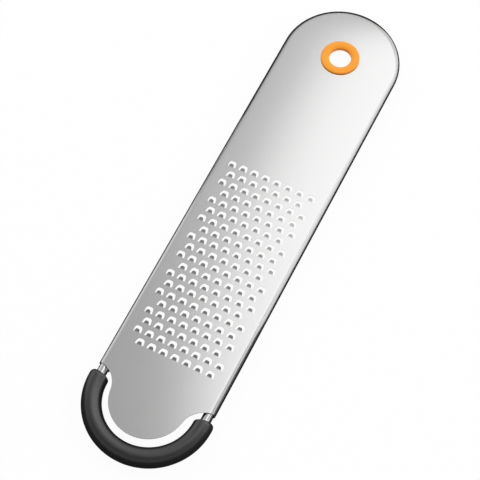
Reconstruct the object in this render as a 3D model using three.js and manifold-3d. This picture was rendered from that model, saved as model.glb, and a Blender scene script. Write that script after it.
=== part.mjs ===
// A fine hand grater: a steel blade punched with small teeth, with its edge rolled round a wire hoop,
// a rubber grip on the hoop's lower bend and a plastic ring in the hanging hole.
// Millimetres. +X runs across the blade, +Y towards the hanging hole and +Z up, out of the grating face.
// The origin lies under the middle of the grater, level with the underside of the grip.
import * as THREE from 'three';
import { mergeGeometries, mergeVertices } from 'three/addons/utils/BufferGeometryUtils.js';
import Module from 'manifold-3d';

// Wire hoop
const WIRE_DIAMETER = 5.5;
const HOOP_WIDTH = 59.5; // between the wire's centre lines
const HOOP_STRAIGHT = 226; // each leg, between the two half circles
const FIT_GAP = 0.3; // round the wire, and round the ring in its hole

// Sheet of the blade
const SHEET = 0.4;
const CROWN_RADIUS = 366; // the blade is bowed across its width
const CURL_DEGREES = 240; // how far the edge is rolled round the wire, from the wire's top
const TONGUE_GAP = 3.8; // between the sides of the blade's round lower end and the grip
const TONGUE_DROP = 0.9; // centre of the round lower end, below the centre of the grip's bend
const NOTCH_RADIUS = 13.7; // where the rolled edge ends and the blade narrows

// Grip
const GRIP_DIAMETER = 10.7;
const GRIP_LEG_INSIDE = 1.8; // straight part of the sleeve above the bend, on the hoop's inner side
const GRIP_LEG_OUTSIDE = 3.4; // the same on the outer side, so that the sleeve ends at a slant
const GRIP_END_ROUND = 2.1;
const NECK_LENGTH = 4.95; // bare wire between the blade and the grip

// Punched opening, and the tooth that stands in it
const OPENING_WIDTH = 4.8;
const OPENING_LENGTH = 3.6;
const OPENING_LEG = 0.75; // straight part of its sides
const OPENING_TOP_WIDTH = 1.4;
const SHOULDER_WIDTH = 3.7; // rounding between the sides and the top
const SHOULDER_DROP = 0.3;
const TOOTH_ROOT_WIDTH = 2.6;
const TOOTH_TIP_WIDTH = 1.85;
const TOOTH_REACH = 1.7; // from the root line to the cutting edge, seen from above
const TOOTH_LIFT = 0.45; // cutting edge above the sheet
const TOOTH_BURY = 0.2; // root of the tooth inside the sheet

// Field of teeth
const TOOTH_LAND = 1.9; // between the openings of a row
const ROW_LAND = 2.4; // between the rows
const SIDE_LAND = 0.3; // least distance from an opening to the rolled edge
const FIELD_START = 16.55; // from the end of the rolled edge to the lowest root line
const HEAD_BARE = 82; // least plain length between the teeth and the head's centre

// Hanging ring
const THROAT_DIAMETER = 12.3;
const RING_WALL = 1.85; // between the throat and the groove that holds the sheet
const RING_LIP = 2.7; // flanges beyond the groove
const RING_SEAT_GAP = 0.2; // between the flanges and the sheet
const RING_PROUD = 1.2; // crest of the ring above the sheet
const RING_CREST = 2.8; // from the throat's wall out to the crest
const RING_DISH = 0.65; // from the crest down to the throat
const RING_EDGE = 0.4; // upright outer edge of the front flange
const RING_BACK = 1.25; // thickness of the back flange
const RING_BACK_ROUND = 0.5;

// Fineness of the round shapes
const HALF_CIRCLE_STEPS = 16;
const CROWN_STEPS = 5;
const CURL_STEPS = 8;
const TRIM_STEPS = 14;
const OPENING_STEPS = 2;
const WIRE_SIDES = 12;
const GRIP_SIDES = 16;
const GRIP_ROUND_STEPS = 4;
const RING_SIDES = 32;
const RING_STEPS = 3;
const WELD = 1e-4; // points nearer than this are one
const CUT_SPARE = 2; // how far a cutting shape reaches past the sheet

// Sizes and places that follow from the values above
const wireRadius = WIRE_DIAMETER / 2;
const hoopRadius = HOOP_WIDTH / 2;
const gripRadius = GRIP_DIAMETER / 2;
const boreRadius = wireRadius + FIT_GAP;
const curlRadius = boreRadius + SHEET;
const totalLength = HOOP_STRAIGHT + HOOP_WIDTH + gripRadius + curlRadius;
const bendY = gripRadius + hoopRadius - totalLength / 2;
const headY = bendY + HOOP_STRAIGHT;
const gripLeg = (GRIP_LEG_INSIDE + GRIP_LEG_OUTSIDE) / 2;
const gripSlant = (GRIP_LEG_OUTSIDE - GRIP_LEG_INSIDE) / GRIP_DIAMETER;
const rimEndY = bendY + gripLeg + NECK_LENGTH;
const wireZ = gripRadius;
const tongueRadius = hoopRadius - gripRadius - TONGUE_GAP;
const tongueY = bendY - TONGUE_DROP;
const toothPitch = OPENING_WIDTH + TOOTH_LAND;
const rowPitch = OPENING_LENGTH + ROW_LAND;
const throatRadius = THROAT_DIAMETER / 2;
const waistRadius = throatRadius + RING_WALL;
const ringRadius = waistRadius + RING_LIP;
const holeRadius = waistRadius + FIT_GAP;

// The crown and the rolled edge are two arcs with a common tangent.
const crownAngle = Math.asin(hoopRadius / (CROWN_RADIUS - curlRadius));
const crownCentreZ = wireZ - (CROWN_RADIUS - curlRadius) * Math.cos(crownAngle);
const crownZ = (x) => crownCentreZ + Math.sqrt(CROWN_RADIUS ** 2 - x ** 2);

const wasm = await Module();
wasm.setup();

// Evenly spaced angles from one to the other, both included.
function anglesBetween(from, to, steps) {
  return Array.from({ length: steps + 1 }, (_, i) => from + ((to - from) * i) / steps);
}

// Triangles that close a ring lying square to Y, turned to suit the skin that runs on from it.
function capTriangles(ring, start, isLast) {
  const contour = ring.map((point) => new THREE.Vector2(point.x, point.z));
  const flip = THREE.ShapeUtils.isClockWise(contour) === isLast;
  const triangles = THREE.ShapeUtils.triangulateShape(contour, []);
  return triangles.flatMap(([a, b, c]) => (flip ? [a, c, b] : [a, b, c]).map((corner) => start + corner));
}

// A skin over rings of equally many points. A closed one leads from its last ring back to its first.
function loft(rings, { closed = false, capFirst = false, capLast = false }) {
  const size = rings[0].length;
  const lastStart = (rings.length - 1) * size;
  const index = [];
  for (let r = 0; r < (closed ? rings.length : rings.length - 1); r++) {
    const here = r * size;
    const next = ((r + 1) % rings.length) * size;
    for (let i = 0; i < size; i++) {
      const j = (i + 1) % size;
      index.push(here + i, here + j, next + j, here + i, next + j, next + i);
    }
  }
  if (capFirst) index.push(...capTriangles(rings[0], 0, false));
  if (capLast) index.push(...capTriangles(rings.at(-1), lastStart, true));
  const geometry = new THREE.BufferGeometry().setFromPoints(rings.flat());
  geometry.setIndex(index);
  return geometry;
}

// Shares the points that lie together and drops the triangles that this collapses.
function weld(geometry) {
  geometry.deleteAttribute('normal');
  geometry.deleteAttribute('uv');
  const welded = mergeVertices(geometry, WELD);
  const corners = welded.getIndex().array;
  const kept = [];
  for (let i = 0; i < corners.length; i += 3) {
    const [a, b, c] = corners.slice(i, i + 3);
    if (a !== b && b !== c && c !== a) kept.push(a, b, c);
  }
  welded.setIndex(kept);
  return welded;
}

function signedVolume(geometry) {
  const position = geometry.getAttribute('position');
  const corners = geometry.getIndex().array;
  const [a, b, c] = [0, 1, 2].map(() => new THREE.Vector3());
  let volume = 0;
  for (let i = 0; i < corners.length; i += 3) {
    a.fromBufferAttribute(position, corners[i]);
    b.fromBufferAttribute(position, corners[i + 1]);
    c.fromBufferAttribute(position, corners[i + 2]);
    volume += a.dot(b.cross(c)) / 6;
  }
  return volume;
}

// A closed geometry as a solid with its faces pointing out.
function solid(geometry) {
  const welded = weld(geometry);
  const triVerts = new Uint32Array(welded.getIndex().array);
  if (signedVolume(welded) < 0) triVerts.reverse();
  const vertProperties = new Float32Array(welded.getAttribute('position').array);
  return new wasm.Manifold(new wasm.Mesh({ numProp: 3, vertProperties, triVerts }));
}

function pieceMesh(name, body, material) {
  const { vertProperties, triVerts } = body.getMesh();
  const geometry = new THREE.BufferGeometry();
  geometry.setAttribute('position', new THREE.BufferAttribute(vertProperties, 3));
  geometry.setIndex(new THREE.BufferAttribute(triVerts, 1));
  geometry.computeVertexNormals();
  const mesh = new THREE.Mesh(geometry, material);
  mesh.name = name;
  return mesh;
}

// A ring of points round the hoop's wire. The angle says where on the half circle centred at centreY.
function wireRing(angle, centreY, radius, sides) {
  const outward = new THREE.Vector3(Math.cos(angle), Math.sin(angle), 0);
  const centre = new THREE.Vector3(0, centreY, wireZ).addScaledVector(outward, hoopRadius);
  return Array.from({ length: sides }, (_, i) => {
    const turn = (2 * Math.PI * i) / sides;
    const point = centre.clone().addScaledVector(outward, radius * Math.cos(turn));
    point.z += radius * Math.sin(turn);
    return point;
  });
}

// Frame wire: a closed hoop with a half circle at each end.
function frameWire() {
  const head = anglesBetween(0, Math.PI, HALF_CIRCLE_STEPS);
  const bend = anglesBetween(Math.PI, 2 * Math.PI, HALF_CIRCLE_STEPS);
  const rings = [
    ...head.map((angle) => wireRing(angle, headY, wireRadius, WIRE_SIDES)),
    ...bend.map((angle) => wireRing(angle, bendY, wireRadius, WIRE_SIDES)),
  ];
  return solid(loft(rings, { closed: true }));
}

// Grip: a sleeve with rounded, slanted ends. Its skin runs along the outside and back through the bore.
function grip() {
  const ring = (angle, radius) => wireRing(angle, bendY, radius, GRIP_SIDES);
  // A ring on a straight leg, at a share of the leg's length above the bend.
  const legRing = (angle, radius, share) =>
    ring(angle, radius).map((point) => {
      const outside = Math.abs(point.x) - hoopRadius;
      point.y += share * (gripLeg + gripSlant * outside);
      return point;
    });
  const roundedEnd = (angle) =>
    anglesBetween(0, Math.PI / 2, GRIP_ROUND_STEPS).map((turn) => {
      const inset = GRIP_END_ROUND * (1 - Math.cos(turn));
      const radius = gripRadius - GRIP_END_ROUND * (1 - Math.sin(turn));
      return legRing(angle, radius, 1 - inset / gripLeg);
    });
  const bend = anglesBetween(0, -Math.PI, HALF_CIRCLE_STEPS);
  const outside = [
    ...roundedEnd(0),
    ...bend.map((angle) => ring(angle, gripRadius)),
    ...roundedEnd(-Math.PI).reverse(),
  ];
  const bore = [
    legRing(0, boreRadius, 1),
    ...bend.map((angle) => ring(angle, boreRadius)),
    legRing(-Math.PI, boreRadius, 1),
  ];
  return solid(loft([...outside, ...bore.reverse()], { closed: true }));
}

// Half section of the blade, from the middle of its upper face round the rolled edge and back underneath.
function sheetSection() {
  const arcPoint = (x, z, radius, turn) =>
    new THREE.Vector2(x + radius * Math.sin(turn), z + radius * Math.cos(turn));
  const crown = anglesBetween(0, crownAngle, CROWN_STEPS);
  const curl = anglesBetween(0, THREE.MathUtils.degToRad(CURL_DEGREES), CURL_STEPS).slice(1);
  const face = (depth) => [
    ...crown.map((turn) => arcPoint(0, crownCentreZ, CROWN_RADIUS - depth, turn)),
    ...curl.map((turn) => arcPoint(hoopRadius, wireZ, curlRadius - depth, turn)),
  ];
  return [...face(0), ...face(SHEET).reverse()];
}

// The blade before it is trimmed and punched. It runs straight up to the head, where its two halves
// swing round like a fan until they meet.
function sheetBlank() {
  const section = sheetSection();
  const ring = (swing, y) => {
    const right = section.map(
      ({ x, y: z }) => new THREE.Vector3(x * Math.cos(swing), y + x * Math.sin(swing), z),
    );
    const left = right.slice(1, -1).map(({ x, y: along, z }) => new THREE.Vector3(-x, along, z));
    return [...right, ...left.reverse()];
  };
  const swings = anglesBetween(0, Math.PI / 2, HALF_CIRCLE_STEPS / 2);
  const lowEnd = ring(0, tongueY - tongueRadius - CUT_SPARE);
  return solid(loft([lowEnd, ...swings.map((swing) => ring(swing, headY))], { capFirst: true }));
}

// What the blade keeps, seen from above: all of its head and sides down to the end of the rolled edge,
// then a round tongue, with a notch on each side that runs smoothly into it.
function trimmedOutline() {
  const notchY = rimEndY - NOTCH_RADIUS;
  const notchX = Math.sqrt((tongueRadius + NOTCH_RADIUS) ** 2 - (notchY - tongueY) ** 2);
  const meeting = Math.atan2(notchY - tongueY, notchX);
  const sideX = notchX + HOOP_WIDTH;
  const topY = headY + HOOP_WIDTH;
  const outline = new THREE.Shape();
  outline.moveTo(sideX, topY);
  outline.lineTo(-sideX, topY);
  outline.lineTo(-sideX, rimEndY);
  outline.lineTo(-notchX, rimEndY);
  outline.absarc(-notchX, notchY, NOTCH_RADIUS, Math.PI / 2, -meeting, true);
  outline.absarc(0, tongueY, tongueRadius, Math.PI - meeting, 2 * Math.PI + meeting, false);
  outline.absarc(notchX, notchY, NOTCH_RADIUS, Math.PI + meeting, Math.PI / 2, true);
  outline.lineTo(sideX, rimEndY);
  const depth = crownZ(0) + 2 * CUT_SPARE;
  const geometry = new THREE.ExtrudeGeometry(outline, { depth, bevelEnabled: false, curveSegments: TRIM_STEPS });
  return solid(geometry.translate(0, 0, -CUT_SPARE));
}

// An opening has its root line on X and its arch towards +Y, with the sheet's upper face at Z = 0.
function openingCutter() {
  const shoulderY = OPENING_LENGTH - SHOULDER_DROP;
  const arch = new THREE.Shape();
  arch.moveTo(-OPENING_WIDTH / 2, 0);
  arch.lineTo(OPENING_WIDTH / 2, 0);
  arch.lineTo(OPENING_WIDTH / 2, OPENING_LEG);
  arch.quadraticCurveTo(SHOULDER_WIDTH / 2, shoulderY, OPENING_TOP_WIDTH / 2, OPENING_LENGTH);
  arch.lineTo(-OPENING_TOP_WIDTH / 2, OPENING_LENGTH);
  arch.quadraticCurveTo(-SHOULDER_WIDTH / 2, shoulderY, -OPENING_WIDTH / 2, OPENING_LEG);
  const depth = SHEET + 2 * CUT_SPARE;
  const geometry = new THREE.ExtrudeGeometry(arch, { depth, bevelEnabled: false, curveSegments: OPENING_STEPS });
  return weld(geometry.translate(0, 0, -SHEET - CUT_SPARE));
}

// A tooth rises out of the root line. Punching leaves it half as thick as the sheet.
function toothPlate() {
  const ring = (width, y, topZ) => {
    const bottomZ = topZ - SHEET / 2;
    return [
      new THREE.Vector3(-width / 2, y, bottomZ),
      new THREE.Vector3(width / 2, y, bottomZ),
      new THREE.Vector3(width / 2, y, topZ),
      new THREE.Vector3(-width / 2, y, topZ),
    ];
  };
  const root = ring(TOOTH_ROOT_WIDTH, -TOOTH_BURY, -SHEET / 4);
  const tip = ring(TOOTH_TIP_WIDTH, TOOTH_REACH, TOOTH_LIFT);
  return weld(loft([root, tip], { capFirst: true, capLast: true }));
}

// Middles of the teeth's root lines. Every other row is one tooth shorter, and starts one third
// or two thirds of a pitch in, by turns.
function toothPlaces() {
  const fieldWidth = HOOP_WIDTH - 2 * (curlRadius + SIDE_LAND) - OPENING_WIDTH;
  const fieldLength = headY - HEAD_BARE - OPENING_LENGTH - (rimEndY + FIELD_START);
  const columns = Math.floor(fieldWidth / toothPitch) + 1;
  const rows = Math.floor(fieldLength / rowPitch) + 1;
  const places = [];
  for (let row = 0; row < rows; row++) {
    const isFull = row % 2 === 1;
    const shift = isFull ? 0 : (row % 4 === 0 ? 2 : 1) / 3;
    for (let column = 0; column < columns - (isFull ? 0 : 1); column++) {
      const x = (column + shift - (columns - 1) / 2) * toothPitch;
      places.push({ x, y: rimEndY + FIELD_START + row * rowPitch });
    }
  }
  return places;
}

// Copies of one shape, each set on the crowned sheet and square to it.
function setOnSheet(shape, places) {
  const copies = places.map(({ x, y }) => {
    const copy = shape.clone().rotateY(Math.asin(x / CROWN_RADIUS));
    return copy.translate(x, y, crownZ(x));
  });
  return solid(mergeGeometries(copies));
}

function hangHole() {
  const depth = SHEET + 2 * CUT_SPARE;
  const cutter = new THREE.CylinderGeometry(holeRadius, holeRadius, depth, RING_SIDES);
  return solid(cutter.rotateX(Math.PI / 2).translate(0, headY, crownZ(0) - SHEET / 2));
}

// Blade: the blank, trimmed to its outline, punched, with its teeth raised.
function blade() {
  const places = toothPlaces();
  const trimmed = sheetBlank().intersect(trimmedOutline()).subtract(hangHole());
  const punched = trimmed.subtract(setOnSheet(openingCutter(), places));
  return punched.add(setOnSheet(toothPlate(), places));
}

// Hanging ring: two flanges with a groove for the sheet between them, dished towards the throat.
function hangRing() {
  const frontSeatZ = crownZ(holeRadius) + RING_SEAT_GAP;
  const backSeatZ = crownZ(ringRadius) - SHEET - RING_SEAT_GAP;
  const crestZ = crownZ(ringRadius) + RING_PROUD;
  const crestRadius = throatRadius + RING_CREST;
  const backZ = backSeatZ - RING_BACK;
  const profile = new THREE.Path();
  profile.moveTo(throatRadius, backZ + RING_BACK_ROUND);
  profile.lineTo(throatRadius, crestZ - RING_DISH);
  profile.quadraticCurveTo(throatRadius + RING_CREST / 3, crestZ, crestRadius, crestZ);
  profile.quadraticCurveTo(ringRadius, crestZ, ringRadius, frontSeatZ + RING_EDGE);
  profile.lineTo(ringRadius, frontSeatZ);
  profile.lineTo(waistRadius, frontSeatZ);
  profile.lineTo(waistRadius, backSeatZ);
  profile.lineTo(ringRadius, backSeatZ);
  profile.lineTo(ringRadius, backZ + RING_BACK_ROUND);
  profile.lineTo(ringRadius - RING_BACK_ROUND, backZ);
  profile.lineTo(throatRadius + RING_BACK_ROUND, backZ);
  profile.closePath();
  const turned = new THREE.LatheGeometry(profile.getPoints(RING_STEPS), RING_SIDES);
  return solid(turned.rotateX(Math.PI / 2).translate(0, headY, 0));
}

const satinSteel = new THREE.MeshStandardMaterial({ color: 0xc6c7c5, metalness: 1, roughness: 0.34 });
const brightSteel = new THREE.MeshStandardMaterial({ color: 0xcfd0d0, metalness: 1, roughness: 0.18 });
const blackRubber = new THREE.MeshStandardMaterial({ color: 0x2a2a2b, metalness: 0, roughness: 0.62 });
const orangePlastic = new THREE.MeshStandardMaterial({ color: 0xf39a33, metalness: 0, roughness: 0.35 });

const grater = new THREE.Group();
grater.add(
  pieceMesh('blade', blade(), satinSteel),
  pieceMesh('frame_wire', frameWire(), brightSteel),
  pieceMesh('grip', grip(), blackRubber),
  pieceMesh('hang_ring', hangRing(), orangePlastic),
);

export default grater;
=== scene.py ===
"""Builds a fine hand grater: a satin steel blade with punched teeth, its edge rolled round a wire hoop,
a rubber grip on the hoop's bend and a plastic ring in the hanging hole.

Metres. +X runs across the blade, +Y towards the hanging hole and +Z up, out of the grating face.
"""

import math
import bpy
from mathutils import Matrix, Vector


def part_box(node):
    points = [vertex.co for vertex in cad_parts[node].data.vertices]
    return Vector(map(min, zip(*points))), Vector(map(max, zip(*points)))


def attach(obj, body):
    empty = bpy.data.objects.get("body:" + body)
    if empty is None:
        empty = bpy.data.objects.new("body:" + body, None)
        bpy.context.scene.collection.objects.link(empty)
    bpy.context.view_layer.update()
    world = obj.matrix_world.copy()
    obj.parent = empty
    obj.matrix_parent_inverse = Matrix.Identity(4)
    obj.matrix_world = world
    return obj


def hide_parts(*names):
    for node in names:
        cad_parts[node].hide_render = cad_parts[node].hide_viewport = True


bl_info = {
    "name": "Fine Grater",
    "version": (1, 0, 0),
    "blender": (4, 5, 0),
    "location": "View3D > Sidebar > Grater",
    "description": "Builds a fine hand grater: punched blade, wire hoop, grip and hanging ring",
    "category": "Add Mesh",
}

from typing import NamedTuple

import bpy
from bpy.props import FloatProperty, FloatVectorProperty, IntProperty, PointerProperty
from mathutils import Matrix, Vector
from mathutils.geometry import convex_hull_2d

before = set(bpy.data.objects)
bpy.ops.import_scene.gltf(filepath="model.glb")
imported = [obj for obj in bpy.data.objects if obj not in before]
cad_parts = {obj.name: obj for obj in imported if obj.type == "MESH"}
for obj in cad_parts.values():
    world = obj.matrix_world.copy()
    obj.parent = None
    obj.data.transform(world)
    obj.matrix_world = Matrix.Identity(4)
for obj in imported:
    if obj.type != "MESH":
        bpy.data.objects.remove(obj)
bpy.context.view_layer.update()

MM = 0.001
# Corners closer than this become one
WELD = 0.002 * MM
# Faces that meet at more than this angle show a crease
CREASE_ANGLE = math.radians(40)

# Sizes read from the CAD parts in model.glb
blade_low, blade_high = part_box("blade")
wire_low, wire_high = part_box("frame_wire")
grip_low, grip_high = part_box("grip")
ring_low, ring_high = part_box("hang_ring")
WIRE_RADIUS = (wire_high.z - wire_low.z) / 2
HOOP_Z = (wire_high.z + wire_low.z) / 2
HOOP_RADIUS = wire_high.x - WIRE_RADIUS
GRIP_RADIUS = (grip_high.z - grip_low.z) / 2
BEND_Y = grip_low.y + GRIP_RADIUS + HOOP_RADIUS
HEAD_Y = (ring_high.y + ring_low.y) / 2
CURL_RADIUS = blade_high.x - HOOP_RADIUS
TONGUE_END_Y = blade_low.y
RING_RADIUS = ring_high.x


def length(name, description, default):
    """A size in metres, written in the panel with its unit."""
    return FloatProperty(
        name=name, description=description, default=default, unit="LENGTH", precision=6, min=0
    )


def place(name, description, default):
    """A coordinate in metres, which may be negative."""
    return FloatProperty(name=name, description=description, default=default, unit="LENGTH", precision=6)


def angle(name, description, degrees):
    """An angle, kept in radians and shown in degrees."""
    return FloatProperty(name=name, description=description, default=math.radians(degrees), subtype="ANGLE")


def whole_number(name, description, default, least):
    """A number of steps, sides or copies."""
    return IntProperty(name=name, description=description, default=default, min=least)


def share(name, description, default):
    """A part of a whole, from 0 to 1."""
    return FloatProperty(
        name=name, description=description, default=default, min=0, max=1, subtype="FACTOR"
    )


def colour(name, description, default):
    """A plain colour, in linear parts."""
    return FloatVectorProperty(
        name=name, description=description, default=default, size=3, min=0, max=1, subtype="COLOR"
    )


class BladeSizes(bpy.types.PropertyGroup):
    """Sizes of the blade's sheet"""

    thickness: length("Thickness", "Thickness of the steel sheet", 0.4 * MM)
    crown_radius: length("Crown Radius", "Radius of the bow across the blade", 366 * MM)
    curl_radius: length("Curl Radius", "Outer radius of the rolled edge", CURL_RADIUS)
    curl_turn: angle("Curl Turn", "How far the edge is rolled round the wire", 240)
    rim_end: place("Rim End", "Where the rolled edge ends, above the grip", BEND_Y + 7.55 * MM)
    tongue_radius: length("Tongue Radius", "Radius of the blade's round lower end", 20.6 * MM)
    notch_radius: length("Notch Radius", "Radius of the notch beside the lower end", 13.7 * MM)
    hole_radius: length("Hole Radius", "Radius of the hole that the ring sits in", 8.3 * MM)
    fine_steps: whole_number("Fine Steps", "Steps in each round stretch", 16, least=4)
    head_steps: whole_number("Head Steps", "Steps round the head", 72, least=16)


class ToothSizes(bpy.types.PropertyGroup):
    """Sizes of the punched teeth and their field"""

    rows: whole_number("Rows", "Rows of teeth", 20, least=1)
    columns: whole_number("Columns", "Teeth in a full row", 8, least=2)
    pitch: length("Pitch", "Distance between the teeth of a row", 6.7 * MM)
    row_pitch: length("Row Pitch", "Distance between the rows", 6.0 * MM)
    first_root: place("First Root", "Root line of the lowest row", BEND_Y + 24.1 * MM)
    opening_width: length("Opening Width", "Width of a punched opening at its root", 4.8 * MM)
    opening_length: length("Opening Length", "Length of a punched opening", 3.6 * MM)
    opening_leg: length("Opening Leg", "Straight part of the opening's sides", 0.75 * MM)
    opening_top: length("Opening Top", "Width of the opening's flat top", 1.8 * MM)
    shoulder_width: length("Shoulder Width", "Width that the rounded shoulders aim at", 4.2 * MM)
    shoulder_drop: length("Shoulder Drop", "How far below the top the shoulders aim", 0.1 * MM)
    root_width: length("Root Width", "Width of a tooth at its root", 2.9 * MM)
    tip_width: length("Tip Width", "Width of a tooth at its cutting edge", 2.1 * MM)
    reach: length("Reach", "From the root line to the cutting edge", 1.7 * MM)
    lift: length("Lift", "Cutting edge above the sheet", 0.45 * MM)
    tip_round: length("Tip Round", "How far the tip's corners are rounded off", 0.4 * MM)
    root_bend: share("Root Bend", "Share of the tooth that is bent up, before it runs straight", 0.08)


class HoopSizes(bpy.types.PropertyGroup):
    """Sizes of the wire hoop"""

    radius: length("Hoop Radius", "Radius of the hoop's half circles", HOOP_RADIUS)
    wire_radius: length("Wire Radius", "Radius of the wire", WIRE_RADIUS)
    bend_steps: whole_number("Bend Steps", "Steps in a quarter circle", 32, least=4)
    wire_sides: whole_number("Wire Sides", "Sides of the wire", 32, least=8)


class GripSizes(bpy.types.PropertyGroup):
    """Sizes of the grip"""

    radius: length("Radius", "Outer radius of the sleeve", GRIP_RADIUS)
    bore: length("Bore", "Radius of the sleeve's bore", WIRE_RADIUS + 0.3 * MM)
    leg_inside: length("Leg Inside", "Straight part above the bend, on the inner side", 1.8 * MM)
    leg_outside: length("Leg Outside", "Straight part above the bend, on the outer side", 3.4 * MM)
    end_round: length("End Round", "Rounding of the sleeve's ends", 2.1 * MM)
    sides: whole_number("Sides", "Sides of the sleeve", 48, least=8)
    bend_steps: whole_number("Bend Steps", "Steps round the bend", 96, least=8)
    round_steps: whole_number("Round Steps", "Steps in a rounded end", 10, least=2)


class RingSizes(bpy.types.PropertyGroup):
    """Sizes of the hanging ring"""

    radius: length("Radius", "Outer radius of the flanges", RING_RADIUS)
    throat: length("Throat", "Radius of the hole for the hook", 6.15 * MM)
    wall: length("Wall", "Between the throat and the groove", 1.85 * MM)
    crest: length("Crest", "From the throat's wall out to the crest", 2.8 * MM)
    dish: length("Dish", "From the crest down to the throat", 0.65 * MM)
    edge: length("Edge", "Upright outer edge of the front flange", 0.4 * MM)
    seat_gap: length("Seat Gap", "Between the flanges and the sheet", 0.2 * MM)
    back_round: length("Back Round", "Rounding of the back flange", 0.5 * MM)
    sides: whole_number("Sides", "Sides of the ring", 128, least=16)
    steps: whole_number("Steps", "Steps in each curve of the profile", 10, least=2)


class Finishes(bpy.types.PropertyGroup):
    """Colours of the finishes"""

    steel: colour("Steel", "Satin steel of the blade", (0.62, 0.62, 0.618))
    wire: colour("Wire", "Bright steel of the hoop", (0.68, 0.68, 0.678))
    rubber: colour("Rubber", "Black rubber of the grip", (0.0125, 0.0125, 0.0129))
    plastic: colour("Plastic", "Orange plastic of the ring", (0.98, 0.36, 0.035))
    floor: colour("Floor", "Pale floor", (0.86, 0.86, 0.86))


class Studio(bpy.types.PropertyGroup):
    """Camera and light"""

    lens: FloatProperty(name="Lens", description="Focal length", default=139.43, unit="CAMERA")
    azimuth: angle("Azimuth", "Camera's direction, from the grip's end towards the right", 26.462)
    elevation: angle("Elevation", "Camera's height above the horizon", 63.308)
    roll: angle("Roll", "Camera's turn about its own axis", 0.056)
    distance: length("Distance", "From the camera to the point that it looks at", 0.97716)
    aim_x: place("Aim X", "Point on the blade that the camera looks at", 0.73 * MM)
    aim_y: place("Aim Y", "Point on the blade that the camera looks at", -11.49 * MM)
    floor_size: length("Floor Size", "Side of the square floor", 12.0)
    floor_glow: share("Floor Glow", "Share of the floor's white that no shadow dims", 0.96)
    horizon_front: share("Horizon Front", "Light from low down, on the side of the grip", 0.55)
    horizon_back: share("Horizon Back", "Light from low down, on the side of the hanging hole", 1.0)
    ceiling_front: share("Ceiling Front", "Light from above, on the side of the grip", 0.23)
    ceiling_back: share("Ceiling Back", "Light from above, on the side of the hanging hole", 0.66)


def mesh_object(name, corners, faces):
    """A new object, at the origin, with a mesh of these corners and faces."""
    mesh = bpy.data.meshes.new(name)
    mesh.from_pydata(corners, [], faces)
    mesh.update()
    made = bpy.data.objects.new(name, mesh)
    bpy.context.scene.collection.objects.link(made)
    return made


def polygon_object(name, polygons):
    """A new object whose polygons each bring their own corners, with none welded yet."""
    corners = [corner for polygon in polygons for corner in polygon]
    faces = []
    start = 0
    for polygon in polygons:
        faces.append(tuple(range(start, start + len(polygon))))
        start += len(polygon)
    return mesh_object(name, corners, faces)


def skin_object(name, rings):
    """A new object skinned over rings of equally many points, with the last ring led back to the first."""
    sides = len(rings[0])
    faces = []
    for here in range(len(rings)):
        there = (here + 1) % len(rings)
        for side in range(sides):
            after = (side + 1) % sides
            faces.append(
                (here * sides + side, here * sides + after, there * sides + after, there * sides + side)
            )
    return mesh_object(name, [point for ring in rings for point in ring], faces)


def shade(mesh):
    """Smooth shading, with a crease wherever two faces meet at a steep angle."""
    mesh.polygons.foreach_set("use_smooth", [True] * len(mesh.polygons))
    mesh.set_sharp_from_angle(angle=CREASE_ANGLE)


def settle(made):
    """Turns the object's evaluated result into a plain mesh and takes its modifiers off."""
    bpy.context.view_layer.update()
    evaluated = made.evaluated_get(bpy.context.evaluated_depsgraph_get())
    mesh = bpy.data.meshes.new_from_object(evaluated)
    mesh.name = made.name
    made.modifiers.clear()
    made.data = mesh


def dress(made, node, material):
    """Makes the object stand for a CAD node, with its finish."""
    made.data.materials.clear()
    made.data.materials.append(material)
    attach(made, "root")
    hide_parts(node)


# Node trees


def feed(tree, socket, value):
    """Sets a socket to a number or colour, or links it to another node's output."""
    if isinstance(value, bpy.types.NodeSocket):
        tree.links.new(value, socket)
    else:
        socket.default_value = value


def add_node(tree, kind, inputs=None, **settings):
    """Adds a node, with its settings and with its inputs fed by name or number."""
    node = tree.nodes.new(kind)
    for name, value in settings.items():
        setattr(node, name, value)
    for name, value in (inputs or {}).items():
        feed(tree, node.inputs[name], value)
    return node


def calculate(tree, operation, *values):
    """The result of a Math node on numbers and outputs."""
    node = add_node(tree, "ShaderNodeMath", dict(enumerate(values)), operation=operation)
    return node.outputs[0]


def geometry_tree(name, sockets):
    """A new Geometry Nodes tree with these named inputs, given as name: socket type."""
    tree = bpy.data.node_groups.new(name, "GeometryNodeTree")
    tree.interface.new_socket(name="Geometry", in_out="OUTPUT", socket_type="NodeSocketGeometry")
    for socket, kind in sockets.items():
        tree.interface.new_socket(name=socket, in_out="INPUT", socket_type=kind)
    return tree


def add_modifier(made, tree, values):
    """Adds the tree to an object as a modifier, with its inputs set by their identifiers."""
    modifier = made.modifiers.new(tree.name, "NODES")
    modifier.node_group = tree
    for item in tree.interface.items_tree:
        if item.in_out == "INPUT" and item.name in values:
            modifier[item.identifier] = values[item.name]


def finish_tree(tree, geometry, material):
    """Ends a tree in Realize Instances and Set Material."""
    realized = add_node(tree, "GeometryNodeRealizeInstances", {"Geometry": geometry})
    inputs = {"Geometry": realized.outputs[0], "Material": material}
    painted = add_node(tree, "GeometryNodeSetMaterial", inputs)
    add_node(tree, "NodeGroupOutput", {"Geometry": painted.outputs[0]})


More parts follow.
